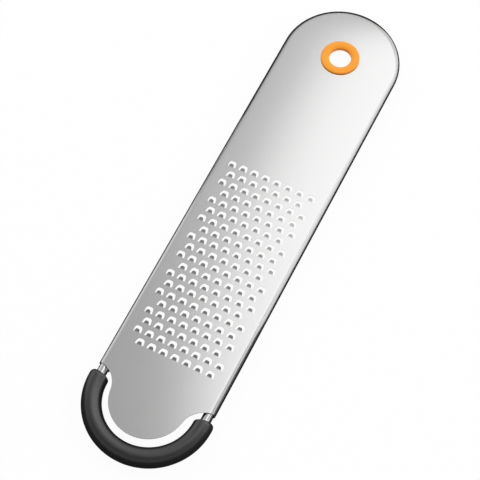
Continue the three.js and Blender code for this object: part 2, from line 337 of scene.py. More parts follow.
def punched_sheet_tree():
    """Geometry Nodes that fill the window of a plain sheet with rows of teeth, bowed to its crown."""
    tree = geometry_tree(
        "Punched Sheet",
        {
            "Geometry": "NodeSocketGeometry",
            "Tooth": "NodeSocketObject",
            "Rows": "NodeSocketInt",
            "Columns": "NodeSocketInt",
            "Pitch": "NodeSocketFloat",
            "Row Pitch": "NodeSocketFloat",
            "First Root": "NodeSocketFloat",
            "Crown Radius": "NodeSocketFloat",
            "Crown Centre": "NodeSocketFloat",
            "Weld": "NodeSocketFloat",
            "Material": "NodeSocketMaterial",
        },
    )
    given = add_node(tree, "NodeGroupInput").outputs
    count = calculate(tree, "MULTIPLY", given["Rows"], given["Columns"])
    index = add_node(tree, "GeometryNodeInputIndex").outputs[0]
    row = calculate(tree, "FLOOR", calculate(tree, "DIVIDE", index, given["Columns"]))
    column = calculate(tree, "MODULO", index, given["Columns"])

    # Every other row is one tooth shorter and starts two thirds or one third of a pitch in, by turns
    is_short = calculate(tree, "COMPARE", calculate(tree, "MODULO", row, 2.0), 0.0, 0.5)
    is_fourth = calculate(tree, "COMPARE", calculate(tree, "MODULO", row, 4.0), 0.0, 0.5)
    thirds = calculate(tree, "ADD", is_short, is_fourth)
    shift = calculate(tree, "DIVIDE", thirds, 3.0)
    last = calculate(tree, "SUBTRACT", given["Columns"], 1.0)
    is_last = calculate(tree, "COMPARE", column, last, 0.5)
    is_spare = calculate(tree, "MULTIPLY", is_short, is_last)
    middle = calculate(tree, "DIVIDE", last, 2.0)
    steps = calculate(tree, "SUBTRACT", calculate(tree, "ADD", column, shift), middle)
    root = calculate(tree, "MULTIPLY_ADD", row, given["Row Pitch"], given["First Root"])
    side = calculate(tree, "MULTIPLY", steps, given["Pitch"])
    spot = add_node(tree, "ShaderNodeCombineXYZ", {"X": side, "Y": root})
    points = add_node(tree, "GeometryNodePoints", {"Count": count, "Position": spot.outputs[0]})
    kept = add_node(
        tree, "GeometryNodeDeleteGeometry", {"Geometry": points.outputs[0], "Selection": is_spare}
    )
    tooth = add_node(tree, "GeometryNodeObjectInfo", {"Object": given["Tooth"]})
    teeth = add_node(
        tree,
        "GeometryNodeInstanceOnPoints",
        {"Points": kept.outputs[0], "Instance": tooth.outputs["Geometry"]},
    )
    field = add_node(tree, "GeometryNodeRealizeInstances", {"Geometry": teeth.outputs[0]})

    position = add_node(tree, "GeometryNodeInputPosition").outputs[0]
    across = add_node(tree, "ShaderNodeSeparateXYZ", {0: position}).outputs["X"]
    radius_squared = calculate(tree, "POWER", given["Crown Radius"], 2.0)
    across_squared = calculate(tree, "MULTIPLY", across, across)
    height_squared = calculate(tree, "SUBTRACT", radius_squared, across_squared)
    crown = calculate(tree, "ADD", calculate(tree, "SQRT", height_squared), given["Crown Centre"])
    raise_by = add_node(tree, "ShaderNodeCombineXYZ", {"Z": crown})
    bowed = add_node(
        tree, "GeometryNodeSetPosition", {"Geometry": field.outputs[0], "Offset": raise_by.outputs[0]}
    )
    whole = add_node(tree, "GeometryNodeJoinGeometry", {"Geometry": bowed.outputs[0]})
    tree.links.new(given["Geometry"], whole.inputs[0])
    welded = add_node(
        tree, "GeometryNodeMergeByDistance", {"Geometry": whole.outputs[0], "Distance": given["Weld"]}
    )
    finish_tree(tree, welded.outputs[0], given["Material"])
    return tree


def wire_hoop_tree():
    """Geometry Nodes that sweep a round wire along a hoop with a half circle at each end."""
    tree = geometry_tree(
        "Wire Hoop",
        {
            "Geometry": "NodeSocketGeometry",
            "Hoop Radius": "NodeSocketFloat",
            "Hoop Length": "NodeSocketFloat",
            "Wire Radius": "NodeSocketFloat",
            "Bend Steps": "NodeSocketInt",
            "Wire Sides": "NodeSocketInt",
            "Place": "NodeSocketVector",
            "Weld": "NodeSocketFloat",
            "Material": "NodeSocketMaterial",
        },
    )
    given = add_node(tree, "NodeGroupInput").outputs
    width = calculate(tree, "MULTIPLY", given["Hoop Radius"], 2.0)
    box = add_node(
        tree,
        "GeometryNodeCurvePrimitiveQuadrilateral",
        {"Width": width, "Height": given["Hoop Length"]},
        mode="RECTANGLE",
    )
    hoop = add_node(
        tree,
        "GeometryNodeFilletCurve",
        {
            "Curve": box.outputs[0],
            "Radius": given["Hoop Radius"],
            "Count": given["Bend Steps"],
            "Limit Radius": True,
        },
        mode="POLY",
    )
    placed = add_node(
        tree, "GeometryNodeSetPosition", {"Geometry": hoop.outputs[0], "Offset": given["Place"]}
    )
    section = add_node(
        tree,
        "GeometryNodeCurvePrimitiveCircle",
        {"Resolution": given["Wire Sides"], "Radius": given["Wire Radius"]},
        mode="RADIUS",
    )
    swept = add_node(
        tree, "GeometryNodeCurveToMesh", {"Curve": placed.outputs[0], "Profile Curve": section.outputs[0]}
    )
    welded = add_node(
        tree, "GeometryNodeMergeByDistance", {"Geometry": swept.outputs[0], "Distance": given["Weld"]}
    )
    finish_tree(tree, welded.outputs[0], given["Material"])
    return tree


# Finishes


def shader_group(name, inputs, output):
    """A new shader node group with number inputs and one output. Returns it with its input sockets."""
    group = bpy.data.node_groups.new(name, "ShaderNodeTree")
    for socket, default in inputs.items():
        made = group.interface.new_socket(name=socket, in_out="INPUT", socket_type="NodeSocketFloat")
        made.default_value = default
    group.interface.new_socket(name=output, in_out="OUTPUT", socket_type="NodeSocketFloat")
    return group, add_node(group, "NodeGroupInput").outputs


def grain_group():
    """Fine lines left by rolling and brushing, which run along Y."""
    group, given = shader_group("Grain", {"Lines": 5200.0, "Along": 60.0}, "Grain")
    place_on = add_node(group, "ShaderNodeTexCoord").outputs["Object"]
    stretch = add_node(
        group, "ShaderNodeCombineXYZ", {"X": given["Lines"], "Y": given["Along"], "Z": given["Lines"]}
    )
    drawn_out = add_node(
        group, "ShaderNodeVectorMath", {0: place_on, 1: stretch.outputs[0]}, operation="MULTIPLY"
    )
    lines = add_node(
        group, "ShaderNodeTexNoise", {"Vector": drawn_out.outputs[0], "Scale": 1.0, "Detail": 3.0}
    )
    add_node(group, "NodeGroupOutput", {"Grain": lines.outputs[0]})
    return group


def smudge_group():
    """Broad soft patches, as handling and cleaning leave."""
    group, given = shader_group("Smudge", {"Patches": 40.0, "Contrast": 1.0}, "Smudge")
    place_on = add_node(group, "ShaderNodeTexCoord").outputs["Object"]
    patches = add_node(
        group,
        "ShaderNodeTexNoise",
        {
            "Vector": place_on,
            "Scale": given["Patches"],
            "Detail": 4.0,
            "Roughness": 0.55,
            "Distortion": 0.4,
        },
    )
    centred = calculate(group, "SUBTRACT", patches.outputs[0], 0.5)
    spread = calculate(group, "MULTIPLY_ADD", centred, given["Contrast"], 0.5)
    add_node(group, "NodeGroupOutput", {"Smudge": spread})
    return group


def stipple_group():
    """Fine even stipple, as a mould leaves on rubber and plastic."""
    group, given = shader_group("Stipple", {"Grains": 3500.0}, "Stipple")
    place_on = add_node(group, "ShaderNodeTexCoord").outputs["Object"]
    grains = add_node(
        group, "ShaderNodeTexNoise", {"Vector": place_on, "Scale": given["Grains"], "Detail": 2.0}
    )
    add_node(group, "NodeGroupOutput", {"Stipple": grains.outputs[0]})
    return group


def use_group(tree, build, name, values):
    """Places a shared shader group in a material, with its own values, and returns its output."""
    group = bpy.data.node_groups.get(name) or build()
    node = add_node(tree, "ShaderNodeGroup", node_tree=group)
    for socket, value in values.items():
        node.inputs[socket].default_value = value
    return node.outputs[0]


def between(tree, value, low, high):
    """A value from 0 to 1 spread evenly between two others."""
    inputs = {"Value": value, "To Min": low, "To Max": high}
    return add_node(tree, "ShaderNodeMapRange", inputs).outputs[0]


def colour_socket(sockets, name):
    """The socket for colours among the sockets of a Mix node that share a name."""
    return next(socket for socket in sockets if socket.identifier == f"{name}_Color")


def tinted(tree, value, base, darkest, lightest):
    """A colour that goes from a darker to a lighter shade of the base with a value."""
    node = add_node(tree, "ShaderNodeMix", {"Factor": value}, data_type="RGBA")
    for name, factor in (("A", darkest), ("B", lightest)):
        shade_of_base = [min(1.0, part * factor) for part in base]
        colour_socket(node.inputs, name).default_value = [*shade_of_base, 1.0]
    return colour_socket(node.outputs, "Result")


def new_material(name):
    """A new node material, with its Principled BSDF."""
    material = bpy.data.materials.new(name)
    material.use_nodes = True
    return material, material.node_tree, material.node_tree.nodes["Principled BSDF"]


def bump(tree, shader, height, strength, depth):
    """Leads a height to the shader's normal, as a shallow relief."""
    node = add_node(tree, "ShaderNodeBump", {"Strength": strength, "Distance": depth, "Height": height})
    tree.links.new(node.outputs[0], shader.inputs["Normal"])


# How much of the sheet's roughness comes from handling, the rest being its grain
SMUDGE_SHARE = 0.4


def satin_steel():
    """Rolled stainless sheet with a fine satin grain along the blade."""
    material, tree, shader = new_material("satin_steel")
    grain = use_group(tree, grain_group, "Grain", {"Lines": 5200.0, "Along": 45.0})
    smudge = use_group(tree, smudge_group, "Smudge", {"Patches": 28.0, "Contrast": 1.4})
    base = bpy.context.scene.grater_finishes.steel
    feed(tree, shader.inputs["Base Color"], tinted(tree, grain, base, darkest=0.97, lightest=1.03))
    grain_part = calculate(tree, "MULTIPLY", grain, 1 - SMUDGE_SHARE)
    mixed = calculate(tree, "MULTIPLY_ADD", smudge, SMUDGE_SHARE, grain_part)
    feed(tree, shader.inputs["Roughness"], between(tree, mixed, low=0.16, high=0.22))
    shader.inputs["Metallic"].default_value = 1.0
    shader.inputs["Anisotropic"].default_value = 0.88
    across = add_node(tree, "ShaderNodeTangent", direction_type="RADIAL", axis="Y")
    tree.links.new(across.outputs[0], shader.inputs["Tangent"])
    bump(tree, shader, grain, strength=0.08, depth=0.01 * MM)
    return material


def drawn_steel():
    """Bright drawn wire, smoother than the sheet."""
    material, tree, shader = new_material("drawn_steel")
    grain = use_group(tree, grain_group, "Grain", {"Lines": 3000.0, "Along": 150.0})
    base = bpy.context.scene.grater_finishes.wire
    feed(tree, shader.inputs["Base Color"], tinted(tree, grain, base, darkest=0.95, lightest=1.03))
    feed(tree, shader.inputs["Roughness"], between(tree, grain, low=0.12, high=0.22))
    shader.inputs["Metallic"].default_value = 1.0
    bump(tree, shader, grain, strength=0.05, depth=0.01 * MM)
    return material


def black_rubber():
    """Soft matt rubber with a fine moulded stipple and faint handling marks."""
    material, tree, shader = new_material("black_rubber")
    stipple = use_group(tree, stipple_group, "Stipple", {"Grains": 3800.0})
    smudge = use_group(tree, smudge_group, "Smudge", {"Patches": 55.0, "Contrast": 1.5})
    base = bpy.context.scene.grater_finishes.rubber
    feed(tree, shader.inputs["Base Color"], tinted(tree, smudge, base, darkest=0.85, lightest=1.2))
    feed(tree, shader.inputs["Roughness"], between(tree, smudge, low=0.29, high=0.38))
    shader.inputs["Specular IOR Level"].default_value = 1.0
    bump(tree, shader, stipple, strength=0.25, depth=0.03 * MM)
    return material


def orange_plastic():
    """Smooth moulded plastic with a faint stipple."""
    material, tree, shader = new_material("orange_plastic")
    stipple = use_group(tree, stipple_group, "Stipple", {"Grains": 2600.0})
    smudge = use_group(tree, smudge_group, "Smudge", {"Patches": 90.0, "Contrast": 1.2})
    base = bpy.context.scene.grater_finishes.plastic
    feed(tree, shader.inputs["Base Color"], tinted(tree, smudge, base, darkest=0.95, lightest=1.04))
    feed(tree, shader.inputs["Roughness"], between(tree, smudge, low=0.32, high=0.42))
    shader.inputs["Specular IOR Level"].default_value = 0.2
    bump(tree, shader, stipple, strength=0.06, depth=0.01 * MM)
    return material


def pale_floor():
    """Pale floor that looks white to the eye and in the steel, and still takes a faint shadow."""
    studio = bpy.context.scene.grater_studio
    material, tree, shader = new_material("pale_floor")
    shader.inputs["Base Color"].default_value = [*bpy.context.scene.grater_finishes.floor, 1.0]
    shader.inputs["Roughness"].default_value = 0.9
    shader.inputs["Specular IOR Level"].default_value = 0.0
    light_path = add_node(tree, "ShaderNodeLightPath").outputs
    seen = calculate(tree, "MAXIMUM", light_path["Is Camera Ray"], light_path["Is Glossy Ray"])
    seen = calculate(tree, "MAXIMUM", seen, light_path["Is Transmission Ray"])
    glow = add_node(tree, "ShaderNodeEmission", {"Strength": 1.0})
    mix = add_node(tree, "ShaderNodeMixShader")
    feed(tree, mix.inputs[0], calculate(tree, "MULTIPLY", seen, studio.floor_glow))
    tree.links.new(shader.outputs[0], mix.inputs[1])
    tree.links.new(glow.outputs[0], mix.inputs[2])
    tree.links.new(mix.outputs[0], tree.nodes["Material Output"].inputs["Surface"])
    return material


# Blade

# Columns of the sheet's lattice in one pitch of the teeth, and in half of it
CELLS_PER_PITCH = 6
HALF_CELLS = CELLS_PER_PITCH // 2
# Steps in each half of an opening's arch
ARCH_STEPS = 6


def steps_between(low, high, steps):
    """Evenly spaced values from one to the other, both included."""
    return [low + (high - low) * step / steps for step in range(steps + 1)]


class SheetShape:
    """The blade's sheet, worked out from its sizes: section, lower outline and lattice of teeth."""

    def __init__(self, sizes, teeth):
        self.sizes = sizes
        self.teeth = teeth
        swing_radius = sizes.crown_radius - sizes.curl_radius
        self.crown_angle = math.asin(HOOP_RADIUS / swing_radius)
        self.crown_centre = HOOP_Z - swing_radius * math.cos(self.crown_angle)
        self.cell = teeth.pitch / CELLS_PER_PITCH
        self.field_half = teeth.columns * teeth.pitch / 2
        self.margin = (teeth.row_pitch - teeth.opening_length) / 2
        self.row_lines = [
            teeth.first_root - self.margin + row * teeth.row_pitch for row in range(teeth.rows + 1)
        ]
        self.tongue_y = TONGUE_END_Y + sizes.tongue_radius
        self.notch_y = sizes.rim_end - sizes.notch_radius
        reach = sizes.tongue_radius + sizes.notch_radius
        self.notch_x = math.sqrt(reach**2 - (self.notch_y - self.tongue_y) ** 2)
        self.meeting = math.atan2(self.tongue_y - self.notch_y, self.notch_x)

    def crown(self, x):
        """Height of the sheet's top, on its bow across the blade."""
        return self.crown_centre + math.sqrt(self.sizes.crown_radius**2 - x**2)

    def low_edge(self, x):
        """Where the sheet ends towards the grip: a round tongue, a notch, then the rolled edge."""
        x = abs(x)
        if x <= self.sizes.tongue_radius * math.cos(self.meeting):
            return self.tongue_y - math.sqrt(self.sizes.tongue_radius**2 - x**2)
        if x <= self.notch_x:
            return self.notch_y + math.sqrt(self.sizes.notch_radius**2 - (self.notch_x - x) ** 2)
        return self.sizes.rim_end

    def hole_edge(self, x):
        """Where the sheet ends towards the ring, or the level of the head's centre beside it."""
        inside = self.sizes.hole_radius**2 - x**2
        return HEAD_Y - math.sqrt(inside) if inside > 0 else HEAD_Y

    def half_section(self):
        """Points from the middle to the end of the rolled edge: x, z and whether on the lattice."""
        steps = self.sizes.fine_steps
        lattice = [self.cell * k for k in range(HALF_CELLS * self.teeth.columns + 1)]
        tongue = [
            self.sizes.tongue_radius * math.sin(turn)
            for turn in steps_between(math.pi / 4, math.pi / 2 - self.meeting, steps)
        ]
        notch = [
            self.notch_x - self.sizes.notch_radius * math.cos(turn)
            for turn in steps_between(self.meeting, math.pi / 2, steps)
        ]
        tangent = self.sizes.crown_radius * math.sin(self.crown_angle)
        # Any closer to the rolled edge, they would make slivers
        farthest = tangent - self.cell / 8
        extra = [x for x in tongue + notch + [self.sizes.hole_radius] if x < farthest]
        flat = sorted([(x, True) for x in lattice] + [(x, False) for x in extra])
        points = [(x, self.crown(x), on_lattice) for x, on_lattice in flat]
        for turn in steps_between(self.crown_angle, self.sizes.curl_turn, 2 * steps):
            x = HOOP_RADIUS + self.sizes.curl_radius * math.sin(turn)
            points.append((x, HOOP_Z + self.sizes.curl_radius * math.cos(turn), False))
        return points


def join_rows(lower, upper):
    """Polygons between two rows of points, kept by column. One polygon spans the columns a row skips."""
    shared = [column for column in lower if column in upper]
    polygons = []
    for left, right in zip(shared, shared[1:]):
        below = [point for column, point in lower.items() if left <= column <= right]
        above = [point for column, point in upper.items() if left <= column <= right]
        polygons.append(below + above[::-1])
    return polygons


def plain_sheet(shape):
    """Polygons of the sheet round the field of teeth, and of the plain ends of its shorter rows."""
    half = shape.half_section()
    count = len(half)
    columns = {}
    for number in range(1 - count, count):
        x, z, on_lattice = half[abs(number)]
        columns[number] = (math.copysign(x, number), z, on_lattice)

    def row(line, wanted):
        return {n: (x, line(x), z) for n, (x, z, on_lattice) in columns.items() if wanted(x, on_lattice)}

    def every(x, on_lattice):
        return True

    def beside_or_lattice(x, on_lattice):
        return on_lattice or abs(x) > shape.field_half - WELD

    low, high = shape.row_lines[0], shape.row_lines[-1]
    ease = shape.teeth.row_pitch / 2
    rows = [
        row(shape.low_edge, every),
        row(lambda x: low - ease, every),
        row(lambda x: low, beside_or_lattice),
    ]
    polygons = join_rows(rows[0], rows[1]) + join_rows(rows[1], rows[2])
    rows = [
        row(lambda x: high, beside_or_lattice),
        row(lambda x: high + ease, every),
        row(shape.hole_edge, every),
    ]
    polygons += join_rows(rows[0], rows[1]) + join_rows(rows[1], rows[2])

    field_edge = next(n for n in range(count) if half[n][0] > shape.field_half - WELD)
    for below, above in zip(shape.row_lines, shape.row_lines[1:]):
        for side in (range(1 - count, 1 - field_edge), range(field_edge, count)):
            lower = {n: (columns[n][0], below, columns[n][1]) for n in side}
            upper = {n: (columns[n][0], above, columns[n][1]) for n in side}
            polygons += join_rows(lower, upper)
    polygons += row_ends(shape)

    hole_edge = next(n for n in range(count) if half[n][0] > shape.sizes.hole_radius - WELD)
    swings = steps_between(0, math.pi, shape.sizes.head_steps)
    fan = [
        {
            n: (half[n][0] * math.cos(swing), HEAD_Y + half[n][0] * math.sin(swing), half[n][1])
            for n in range(hole_edge, count)
        }
        for swing in swings
    ]
    for here, there in zip(fan, fan[1:]):
        polygons += join_rows(here, there)
    return polygons


def row_ends(shape):
    """Plain polygons at the two ends of each row that is one tooth short."""
    polygons = []
    for number, (below, above) in enumerate(zip(shape.row_lines, shape.row_lines[1:])):
        if number % 2 == 1:
            continue
        thirds_left = 2 if number % 4 == 0 else 1
        cells_left = thirds_left * CELLS_PER_PITCH // 3
        cells = CELLS_PER_PITCH * shape.teeth.columns
        plain = [*range(cells_left), *range(cells - CELLS_PER_PITCH + cells_left, cells)]
        for cell in plain:
            left = cell * shape.cell - shape.field_half
            right = left + shape.cell
            polygons.append(
                [
                    (x, y, shape.crown(x))
                    for x, y in ((left, below), (right, below), (right, above), (left, above))
                ]
            )
    return polygons


def opening_outline(teeth, lines):
    """Right half of an opening's arch, from its leg to the middle of its top, with points on the lines."""
    start = Vector((teeth.opening_width / 2, teeth.opening_leg))
    aim = Vector((teeth.shoulder_width / 2, teeth.opening_length - teeth.shoulder_drop))
    end = Vector((teeth.opening_top / 2, teeth.opening_length))
    bend = start - 2 * aim + end
    slope = 2 * (aim - start)

    def at(t):
        return start + slope * t + bend * t * t

    def crossing(x):
        gap = start.x - x
        return (-slope.x - math.sqrt(slope.x**2 - 4 * bend.x * gap)) / (2 * bend.x)

    turns = sorted({*steps_between(0, 1, ARCH_STEPS), *(crossing(x) for x in lines if end.x < x < start.x)})
    return [Vector((start.x, 0)), *(at(t) for t in turns), Vector((0, teeth.opening_length))]


def tooth_cell(shape):
    """Polygons of one punched cell, flat and with its root line on X: the opening and its tooth."""
    teeth = shape.teeth
    lines = [shape.cell * k for k in range(HALF_CELLS + 1)]
    low, high = -shape.margin, teeth.row_pitch - shape.margin
    arch = opening_outline(teeth, lines)
    root_half = teeth.root_width / 2
    tooth_shares = [0, 0.5, lines[1] / root_half, 1]
    root = [Vector((root_half * part, 0)) for part in tooth_shares]
    polygons = []
    for inner, outer in zip(lines, lines[1:]):
        over = [p for p in arch if inner - WELD <= p.x <= outer + WELD and p.y > 0]
        under = [p for p in root if inner - WELD <= p.x <= outer + WELD]
        bottom = [Vector((inner, low)), Vector((outer, low))]
        top = [Vector((outer, high)), Vector((inner, high))]
        if outer < teeth.opening_width / 2:
            lip = [] if outer <= root_half else [Vector((outer, 0))]
            polygons.append(bottom + lip + under[::-1])
            polygons.append(top + over[::-1])
        else:
            corner = [Vector((inner, 0)), Vector((teeth.opening_width / 2, 0))]
            polygons.append(bottom + top + over[::-1] + corner[::-1])
    polygons = [[(p.x, p.y, 0) for p in polygon] for polygon in polygons]
    polygons += tooth_polygons(teeth, tooth_shares)
    mirrored = [[(-x, y, z) for x, y, z in polygon[::-1]] for polygon in polygons]
    return polygons + mirrored


def tooth_polygons(teeth, tooth_shares):
    """Right half of the tooth that is bent up out of the opening, with its tip's corner rounded off."""
    bend = teeth.root_bend
    slope = teeth.lift / (1 - bend / 2)
    rows = []
    for along in (0, bend / 2, bend, (1 + bend) / 2, 1):
        half_width = (teeth.root_width * (1 - along) + teeth.tip_width * along) / 2
        row = {}
        for number, part in enumerate(tooth_shares):
            # The high power leaves the middle of the cutting edge straight
            y = teeth.reach * along - teeth.tip_round * part**4 * along
            rise = y / teeth.reach
            height = rise * rise / (2 * bend) if rise < bend else rise - bend / 2
            row[number] = (half_width * part, y, slope * height)
        rows.append(row)
    polygons = []
    for lower, upper in zip(rows, rows[1:]):
        polygons += join_rows(lower, upper)
    return polygons


class GRATER_OT_blade(bpy.types.Operator):
    """Build the blade: the rolled sheet with its rows of punched teeth"""

    bl_idname = "grater.blade"
    bl_label = "Blade"

    def execute(self, context):
        sizes = context.scene.grater_blade
        teeth = context.scene.grater_teeth
        shape = SheetShape(sizes, teeth)
        material = satin_steel()
        sheet = polygon_object("blade_sheet", plain_sheet(shape))
        tooth = polygon_object("tooth_cell", tooth_cell(shape))
        values = {
            "Tooth": tooth,
            "Rows": teeth.rows,
            "Columns": teeth.columns,
            "Pitch": teeth.pitch,
            "Row Pitch": teeth.row_pitch,
            "First Root": teeth.first_root,
            "Crown Radius": sizes.crown_radius,
            "Crown Centre": shape.crown_centre,
            "Weld": WELD,
            "Material": material,
        }
        add_modifier(sheet, punched_sheet_tree(), values)
        solid = sheet.modifiers.new("Thickness", "SOLIDIFY")
        solid.thickness = sizes.thickness
        solid.offset = -1
        settle(sheet)
        shade(sheet.data)
        # Wide flat faces keep their own normals, so that only the short bend at a tooth's root is blended
        sheet.modifiers.new("Weighted Normals", "WEIGHTED_NORMAL").keep_sharp = True
        settle(sheet)
        bpy.data.objects.remove(tooth)
        dress(sheet, "blade", material)
        return {"FINISHED"}


class GRATER_OT_hoop(bpy.types.Operator):
    """Build the wire hoop that the blade is rolled round"""

    bl_idname = "grater.hoop"
    bl_label = "Wire Hoop"

    def execute(self, context):
        sizes = context.scene.grater_hoop
        material = drawn_steel()
        hoop = mesh_object("wire_hoop", [], [])
        values = {
            "Hoop Radius": sizes.radius,
            "Hoop Length": HEAD_Y - BEND_Y + 2 * sizes.radius,
            "Wire Radius": sizes.wire_radius,
            "Bend Steps": sizes.bend_steps,
            "Wire Sides": sizes.wire_sides,
            "Place": Vector((0, (HEAD_Y + BEND_Y) / 2, HOOP_Z)),
            "Weld": WELD,
            "Material": material,
        }
        add_modifier(hoop, wire_hoop_tree(), values)
        settle(hoop)
        shade(hoop.data)
        dress(hoop, "frame_wire", material)
        return {"FINISHED"}


class GRATER_OT_grip(bpy.types.Operator):
    """Build the rubber grip on the hoop's bend"""

    bl_idname = "grater.grip"
    bl_label = "Grip"

    def execute(self, context):
        sizes = context.scene.grater_grip
        leg = (sizes.leg_inside + sizes.leg_outside) / 2
        slant = (sizes.leg_outside - sizes.leg_inside) / (2 * sizes.radius)

        def ring(turn, radius, along=0.0):
            """Points round the wire at a turn of its bend, or along the straight leg that follows."""
            outward = Vector((math.cos(turn), math.sin(turn), 0))
            points = []
            for side in range(sizes.sides):
                around = 2 * math.pi * side / sizes.sides
                outside = radius * math.cos(around)
                above = Vector((0, along * (leg + slant * outside), radius * math.sin(around)))
                points.append(Vector((0, BEND_Y, HOOP_Z)) + outward * (HOOP_RADIUS + outside) + above)
            return points

        def rounded_end(turn):
            """Rings from the sleeve's flat end to its full width."""
            rings = []
            for step in steps_between(0, math.pi / 2, sizes.round_steps):
                inset = sizes.end_round * (1 - math.cos(step))
                radius = sizes.radius - sizes.end_round * (1 - math.sin(step))
                rings.append(ring(turn, radius, 1 - inset / leg))
            return rings

        bend = steps_between(0, -math.pi, sizes.bend_steps)
        outside = [ring(turn, sizes.radius) for turn in bend]
        bore = [ring(turn, sizes.bore) for turn in bend]
        rings = [
            *rounded_end(0),
            *outside,
            *rounded_end(-math.pi)[::-1],
            ring(-math.pi, sizes.bore, 1),
            *bore[::-1],
            ring(0, sizes.bore, 1),
        ]
        grip = skin_object("grip_sleeve", rings)
        shade(grip.data)
        dress(grip, "grip", black_rubber())
        return {"FINISHED"}


def bend_points(start, aim, end, steps):
    """Points on the curve that leaves start and reaches end, both heading for aim."""
    start, aim, end = Vector(start), Vector(aim), Vector(end)
    return [
        start * (1 - t) ** 2 + aim * 2 * t * (1 - t) + end * t * t for t in steps_between(0, 1, steps)
    ]


class GRATER_OT_ring(bpy.types.Operator):
    """Build the plastic ring in the hanging hole"""

    bl_idname = "grater.ring"
    bl_label = "Hanging Ring"

    def execute(self, context):
        sizes = context.scene.grater_ring
        shape = SheetShape(context.scene.grater_blade, context.scene.grater_teeth)
        front_seat = shape.crown(shape.sizes.hole_radius) + sizes.seat_gap
        back_seat = shape.crown(sizes.radius) - shape.sizes.thickness - sizes.seat_gap
        crest_z, back_z = ring_high.z, ring_low.z
        throat, outer, waist = sizes.throat, sizes.radius, sizes.throat + sizes.wall
        crest = throat + sizes.crest
        turn = sizes.back_round
        dish_aim = throat + sizes.crest / 3
        edge_z = front_seat + sizes.edge
        corners = (
            ((throat + turn, back_z), (throat, back_z), (throat, back_z + turn)),
            ((throat, crest_z - sizes.dish), (dish_aim, crest_z), (crest, crest_z)),
            ((crest, crest_z), (outer, crest_z), (outer, edge_z)),
            ((outer, back_z + turn), (outer, back_z), (outer - turn, back_z)),
        )
        inner_back, dish, front, outer_back = (bend_points(*corner, sizes.steps) for corner in corners)
        groove = [(outer, front_seat), (waist, front_seat), (waist, back_seat), (outer, back_seat)]
        profile = [*inner_back, *dish, *front[1:], *map(Vector, groove), *outer_back]
        rings = []
        for side in range(sizes.sides):
            turned = 2 * math.pi * side / sizes.sides
            outward = Vector((math.cos(turned), math.sin(turned), 0))
            rings.append([Vector((0, HEAD_Y, p.y)) + outward * p.x for p in profile])
        ring = skin_object("hang_ring_moulding", rings)
        shade(ring.data)
        dress(ring, "hang_ring", orange_plastic())
        return {"FINISHED"}


# Stage


class Softbox(NamedTuple):
    """An oval soft lamp that faces the middle of the blade. The gloss shows it if it is mirrored."""

    name: str
    centre: tuple
    width: float
    height: float
    radiance: float
    mirrored: bool


SOFTBOXES = (
    # Above and behind the head, a little to the right: the sheen along the blade's right half
    Softbox("key_softbox", (0.29, 0.98, 1.77), width=1.69, height=1.23, radiance=0.93, mirrored=True),
    # Low behind on the right: the pale bead along the right rim and round the right of the head
    Softbox("back_softbox", (1.05, 1.2, 1.15), width=1.6, height=0.7, radiance=0.62, mirrored=True),
    # Straight above: the paler teeth at the upper end of the field
    Softbox("top_softbox", (-0.05, -0.08, 2.0), width=1.2, height=0.34, radiance=0.85, mirrored=True),
    # Behind on both sides: the level of the ring and its shaded slopes
    Softbox("left_fill", (-1.5, 0.75, 1.1), width=1.8, height=1.4, radiance=2.4, mirrored=False),
    Softbox("right_fill", (1.5, 0.75, 1.1), width=1.8, height=1.4, radiance=2.4, mirrored=False),
)

# Where the world's light changes from front to back and from low to high, in parts of a unit direction
HORIZON_TURN = (-0.25, 0.45)
CEILING_TURN = (-0.25, 0.6)
CEILING_RISE = (0.39, 0.77)

# Cards that lie on the floor, round circles given by their x, y and radius
CARD_Z = 0.2 * MM
CARD_STEP = 20 * MM
CARD_OPENING = HOOP_RADIUS - WIRE_RADIUS
CARD_START = BEND_Y + 32 * MM
LOWER_CIRCLE = (24 * MM, BEND_Y, 78 * MM)
UPPER_CIRCLE = (-70 * MM, HEAD_Y + 76 * MM, 130 * MM)
GRIP_CARD_CIRCLE = (-10 * MM, BEND_Y - 125 * MM, 140 * MM)
GRIP_CARD_TONE = 0.04
CIRCLE_SIDES = 64

# Screens that stand on the floor
SCREEN_RADIUS = HOOP_RADIUS + 20 * MM
BACK_SCREEN_RADIUS = 0.5
# Radius of the black screen that stands in for the shade under the blade
TONGUE_SHADE_SCREEN_RADIUS = 18 * MM
# Steps along the feet of a screen, and how many of them the slope at an end takes
SCREEN_STEPS = 24
SCREEN_RISE = 6


class Screen(NamedTuple):
    """A screen that slopes down to the floor at its first foot, and to a share of its height at its last.

    Its tone is black at 0 and white at 1.
    """

    name: str
    feet: list
    height: float
    tone: float
    last_share: float = 1


def round_feet(centre_y, radius, start, end):
    """Feet of a screen round one end of the grater. Its own ends are in degrees from +X."""
    turns = steps_between(math.radians(start), math.radians(end), SCREEN_STEPS)
    return [Vector((radius * math.cos(a), centre_y + radius * math.sin(a), 0)) for a in turns]


def side_feet(x, first_y, last_y):
    """Feet of a screen along one side of the blade."""
    return [Vector((x, y, 0)) for y in steps_between(first_y, last_y, SCREEN_STEPS)]


